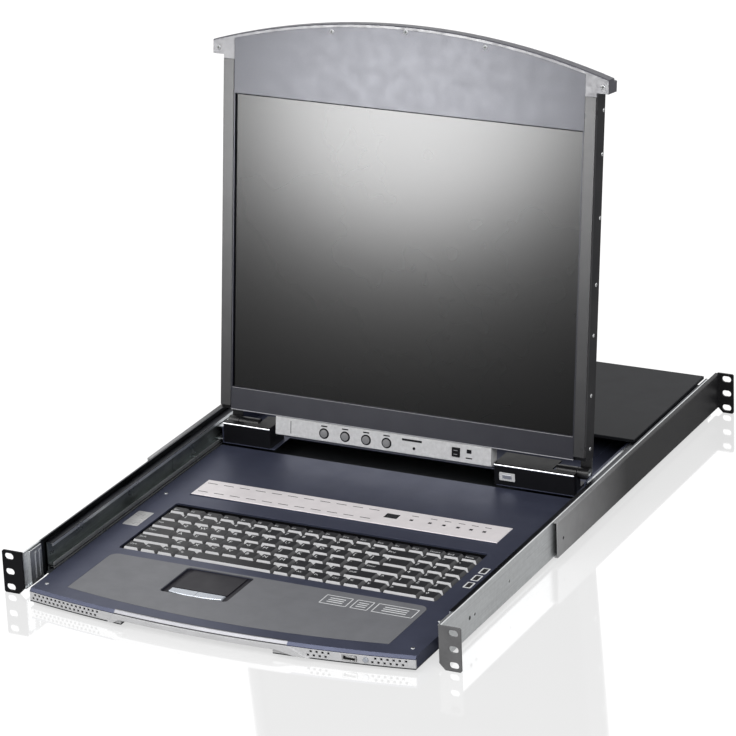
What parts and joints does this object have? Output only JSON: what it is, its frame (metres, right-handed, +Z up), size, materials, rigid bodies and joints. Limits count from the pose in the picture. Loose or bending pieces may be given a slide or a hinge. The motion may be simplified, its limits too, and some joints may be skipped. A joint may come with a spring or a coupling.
{
  "type": "rackmount lcd console drawer",
  "caption": "Rack console drawer: a keyboard tray and a fold-up screen on telescopic slides, between side rails with slotted ears, and an electronics bay at the rear.",
  "frame": {"origin": "the middle of the four corner slots of the front ears, in the ears' front face", "axes": "+X to the user's right, +Y to the rear along the slides, +Z up"},
  "size_m": [0.48, 0.7048, 0.4637],
  "materials": {
    "galvanised": "galvanised, matt",
    "slide_steel": "zinc plated",
    "black_steel": "satin black",
    "slate_metal": "fine-textured powder coat",
    "dark_steel": "matt powder coat",
    "slate_light": "metallic paint",
    "back_aluminium": "matt paint",
    "palm_grey": "fine grain",
    "pad_dark": "matt",
    "silver_button": "silver, half gloss",
    "key_black": "matt",
    "panel_silver": "silver, matt",
    "fascia_silver": "silver paint",
    "lamp_dark": "gloss",
    "socket_metal": "nickel plated",
    "trim_grey": "satin",
    "bright_trim": "polished",
    "screen_glass": "anti-glare",
    "black_plastic": "satin",
    "board_green": "lacquered",
    "supply_case": "plain"
  },
  "bodies": {
    "root": {"housing_base": "dark_steel", "top_cover": "dark_steel", "side_rail_right": "galvanised", "side_rail_left": "galvanised", "front_ears": "black_steel", "guide_blocks": "galvanised", "slide_spacers": "galvanised", "upper_slide_channels": "slide_steel", "lower_slide_channels": "slide_steel", "circuit_board": "board_green", "power_supply": "supply_case", "power_inlet": "black_plastic", "console_ports": "socket_metal"},
    "rear_bracket_right": {"rear_bracket_right": "black_steel"},
    "rear_bracket_left": {"rear_bracket_left": "black_steel"},
    "keyboard_drawer": {"keyboard_tray": "slate_metal", "tray_floor": "dark_steel", "front_fascia": "fascia_silver", "drawer_handle": "fascia_silver", "palm_rest": "palm_grey", "touchpad": "pad_dark", "key_plate": "black_plastic", "status_panel": "panel_silver", "status_lamps": "lamp_dark", "usb_port": "socket_metal", "lower_slide_runners": "dark_steel"},
    "lower_cages": {"lower_ball_cages": "slide_steel"},
    "screen_carriage": {"carriage_plate": "slate_metal", "upper_slide_runners": "slide_steel", "hinge_cover_left": "black_plastic", "hinge_cover_right": "black_plastic", "hinge_trims": "bright_trim", "hinge_brackets": "black_steel", "hinge_pins": "slide_steel"},
    "upper_cages": {"upper_ball_cages": "slide_steel"},
    "screen": {"screen_bezel": "slate_light", "screen_back": "back_aluminium", "lcd_panel": "screen_glass", "screen_side_trims": "trim_grey", "top_handle": "slate_light", "osd_panel": "panel_silver", "screen_hinge_leaves": "black_steel"},
    "power_rocker": {"power_rocker": "black_plastic"},
    "front_button": {"front_button": "silver_button"},
    "touchpad_button_left": {"touchpad_button_left": "silver_button"},
    "touchpad_button_right": {"touchpad_button_right": "silver_button"},
    "space_bar": {"space_bar": "key_black"},
    "key_row_1": {"key_row_1": "key_black"},
    "key_row_2": {"key_row_2": "key_black"},
    "key_row_3": {"key_row_3": "key_black"},
    "key_row_4": {"key_row_4": "key_black"},
    "key_row_5": {"key_row_5": "key_black"},
    "key_row_6": {"key_row_6": "key_black"},
    "osd_button_1": {"osd_button_1": "silver_button"},
    "osd_button_2": {"osd_button_2": "silver_button"},
    "osd_button_3": {"osd_button_3": "silver_button"},
    "osd_button_4": {"osd_button_4": "silver_button"},
    "osd_switch": {"osd_switch": "black_plastic"}
  },
  "joints": [
    {"name": "keyboard_slide", "type": "slide", "parent": "root", "child": "keyboard_drawer", "axis": [0, -1, 0], "range_m": [0, 0.4]},
    {"name": "lower_cage_slide", "type": "slide", "parent": "root", "child": "lower_cages", "axis": [0, -1, 0], "range_m": [0, 0.2]},
    {"name": "screen_slide", "type": "slide", "parent": "root", "child": "screen_carriage", "axis": [0, -1, 0], "range_m": [0, 0.4]},
    {"name": "upper_cage_slide", "type": "slide", "parent": "root", "child": "upper_cages", "axis": [0, -1, 0], "range_m": [0, 0.2]},
    {"name": "screen_hinge", "type": "hinge", "parent": "screen_carriage", "child": "screen", "pos_m": [0, 0.38331, 0.015], "axis": [1, 0, 0], "range_deg": [-17.6, 97.3]},
    {"name": "rear_bracket_right_slide", "type": "slide", "parent": "root", "child": "rear_bracket_right", "axis": [0, 1, 0], "range_m": [0, 0.15]},
    {"name": "rear_bracket_left_slide", "type": "slide", "parent": "root", "child": "rear_bracket_left", "axis": [0, 1, 0], "range_m": [0, 0.15]},
    {"name": "power_rocker_tilt", "type": "hinge", "parent": "root", "child": "power_rocker", "pos_m": [-0.142, 0.6555, -0.001], "axis": [1, 0, 0], "range_deg": [-14, 0]},
    {"name": "front_button_press", "type": "slide", "parent": "keyboard_drawer", "child": "front_button", "axis": [0, 1, 0], "range_m": [0, 0.0007], "stiffness_N_per_m": 800, "springref_m": -0.00035},
    {"name": "touchpad_button_left_press", "type": "slide", "parent": "keyboard_drawer", "child": "touchpad_button_left", "axis": [0, 0, -1], "range_m": [0, 0.0006], "stiffness_N_per_m": 900, "springref_m": -0.0003},
    {"name": "touchpad_button_right_press", "type": "slide", "parent": "keyboard_drawer", "child": "touchpad_button_right", "axis": [0, 0, -1], "range_m": [0, 0.0006], "stiffness_N_per_m": 900, "springref_m": -0.0003},
    {"name": "space_bar_press", "type": "slide", "parent": "keyboard_drawer", "child": "space_bar", "axis": [0, 0, -1], "range_m": [0, 0.0018], "stiffness_N_per_m": 500, "springref_m": -0.0009},
    {"name": "key_row_1_press", "type": "slide", "parent": "keyboard_drawer", "child": "key_row_1", "axis": [0, 0, -1], "range_m": [0, 0.0018], "stiffness_N_per_m": 1500, "springref_m": -0.0009},
    {"name": "key_row_2_press", "type": "slide", "parent": "keyboard_drawer", "child": "key_row_2", "axis": [0, 0, -1], "range_m": [0, 0.0018], "stiffness_N_per_m": 1500, "springref_m": -0.0009},
    {"name": "key_row_3_press", "type": "slide", "parent": "keyboard_drawer", "child": "key_row_3", "axis": [0, 0, -1], "range_m": [0, 0.0018], "stiffness_N_per_m": 1500, "springref_m": -0.0009},
    {"name": "key_row_4_press", "type": "slide", "parent": "keyboard_drawer", "child": "key_row_4", "axis": [0, 0, -1], "range_m": [0, 0.0018], "stiffness_N_per_m": 1500, "springref_m": -0.0009},
    {"name": "key_row_5_press", "type": "slide", "parent": "keyboard_drawer", "child": "key_row_5", "axis": [0, 0, -1], "range_m": [0, 0.0018], "stiffness_N_per_m": 1500, "springref_m": -0.0009},
    {"name": "key_row_6_press", "type": "slide", "parent": "keyboard_drawer", "child": "key_row_6", "axis": [0, 0, -1], "range_m": [0, 0.0018], "stiffness_N_per_m": 1500, "springref_m": -0.0009},
    {"name": "osd_button_1_press", "type": "slide", "parent": "screen", "child": "osd_button_1", "axis": [0, 0.9917, -0.1287], "range_m": [0, 0.0007], "stiffness_N_per_m": 800, "springref_m": -0.00035},
    {"name": "osd_button_2_press", "type": "slide", "parent": "screen", "child": "osd_button_2", "axis": [0, 0.9917, -0.1287], "range_m": [0, 0.0007], "stiffness_N_per_m": 800, "springref_m": -0.00035},
    {"name": "osd_button_3_press", "type": "slide", "parent": "screen", "child": "osd_button_3", "axis": [0, 0.9917, -0.1287], "range_m": [0, 0.0007], "stiffness_N_per_m": 800, "springref_m": -0.00035},
    {"name": "osd_button_4_press", "type": "slide", "parent": "screen", "child": "osd_button_4", "axis": [0, 0.9917, -0.1287], "range_m": [0, 0.0007], "stiffness_N_per_m": 800, "springref_m": -0.00035},
    {"name": "osd_switch_press", "type": "slide", "parent": "screen", "child": "osd_switch", "axis": [0, 0.9917, -0.1287], "range_m": [0, 0.0007], "stiffness_N_per_m": 800, "springref_m": -0.00035}
  ],
  "couplings": [
    {"joint": "lower_cage_slide", "follows": "keyboard_slide", "ratio": 0.5},
    {"joint": "upper_cage_slide", "follows": "screen_slide", "ratio": 0.5}
  ]
}
